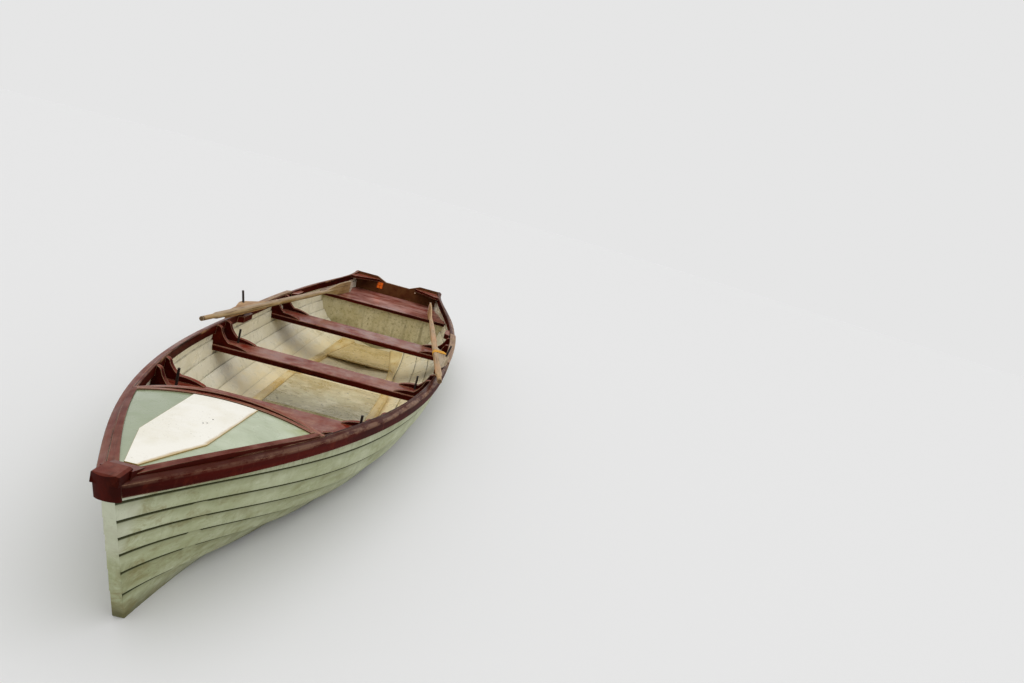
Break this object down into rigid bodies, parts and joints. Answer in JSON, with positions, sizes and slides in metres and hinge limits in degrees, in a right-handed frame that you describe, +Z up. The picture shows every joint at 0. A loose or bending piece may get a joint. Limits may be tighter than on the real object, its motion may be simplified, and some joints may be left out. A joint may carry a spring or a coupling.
{
  "type": "clinker-style rowing boat",
  "caption": "Open clinker-style rowing boat with stepped moulded hull, timber gunwales, thwarts and knees, small foredeck, transom notch and shipped oars.",
  "frame": {"origin": "amidships on the centreline at the waterline", "axes": "+X towards the bow, +Y to port, +Z up"},
  "size_m": [5.7694, 1.6426, 0.799],
  "materials": {
    "hull_gelcoat": "weathered semi-gloss",
    "inner_gelcoat": "stained semi-gloss",
    "floor_gelcoat": "dirty matt",
    "deck_sage": "wet gloss",
    "deck_white": "wet gloss",
    "hull_timber": "wet varnished hardwood",
    "oar_wood": "weathered grey softwood",
    "black_iron": "satin",
    "orange_plastic": "gloss",
    "cream_plastic": "gloss"
  },
  "bodies": {
    "boat": {"aft_knee_aft_port": "hull_timber", "aft_knee_aft_starboard": "hull_timber", "aft_knee_fore_port": "hull_timber", "aft_knee_fore_starboard": "hull_timber", "aft_thwart": "hull_timber", "bow_knee_aft_port": "hull_timber", "bow_knee_aft_starboard": "hull_timber", "bow_knee_fore_port": "hull_timber", "bow_knee_fore_starboard": "hull_timber", "bow_thwart": "hull_timber", "bow_thwart_pins": "black_iron", "breast_hook": "hull_timber", "deck_beam": "hull_timber", "deck_edging": "hull_timber", "deck_panel": "deck_white", "deck_trim_port": "hull_timber", "deck_trim_starboard": "hull_timber", "floor_aft": "floor_gelcoat", "floor_forward": "floor_gelcoat", "floor_middle": "floor_gelcoat", "foredeck": "deck_sage", "gunwale_cap_port": "hull_timber", "gunwale_cap_starboard": "hull_timber", "hull": "hull_gelcoat", "inwale_port": "hull_timber", "inwale_starboard": "hull_timber", "light_knob": "cream_plastic", "mid_knee_aft_port": "hull_timber", "mid_knee_aft_starboard": "hull_timber", "mid_knee_fore_port": "hull_timber", "mid_knee_fore_starboard": "hull_timber", "mid_thwart": "hull_timber", "mid_thwart_pins": "black_iron", "oar_block_port": "oar_wood", "oar_port": "oar_wood", "outwale_port": "hull_timber", "outwale_starboard": "hull_timber", "quarter_knee_port": "hull_timber", "quarter_knee_starboard": "hull_timber", "reflector": "orange_plastic", "stem_head": "hull_timber", "stern_bulkhead": "inner_gelcoat", "stern_seat": "hull_timber", "stringer_port": "inner_gelcoat", "stringer_starboard": "inner_gelcoat", "thole_pad_aft_port": "hull_timber", "thole_pad_aft_starboard": "hull_timber", "thole_pad_mid_port": "hull_timber", "thole_pad_mid_starboard": "hull_timber", "thole_pin_port": "black_iron", "thole_pin_starboard": "black_iron", "transom_facing": "hull_timber"},
    "starboard_oar": {"oar_starboard": "oar_wood", "oar_block_starboard": "oar_wood"}
  },
  "joints": [
    {"name": "starboard_oar_swing", "type": "hinge", "parent": "boat", "child": "starboard_oar", "pos_m": [-0.33, -0.777, 0.441], "axis": [0, 0.2079, -0.9781], "range_deg": [0, 90]}
  ]
}
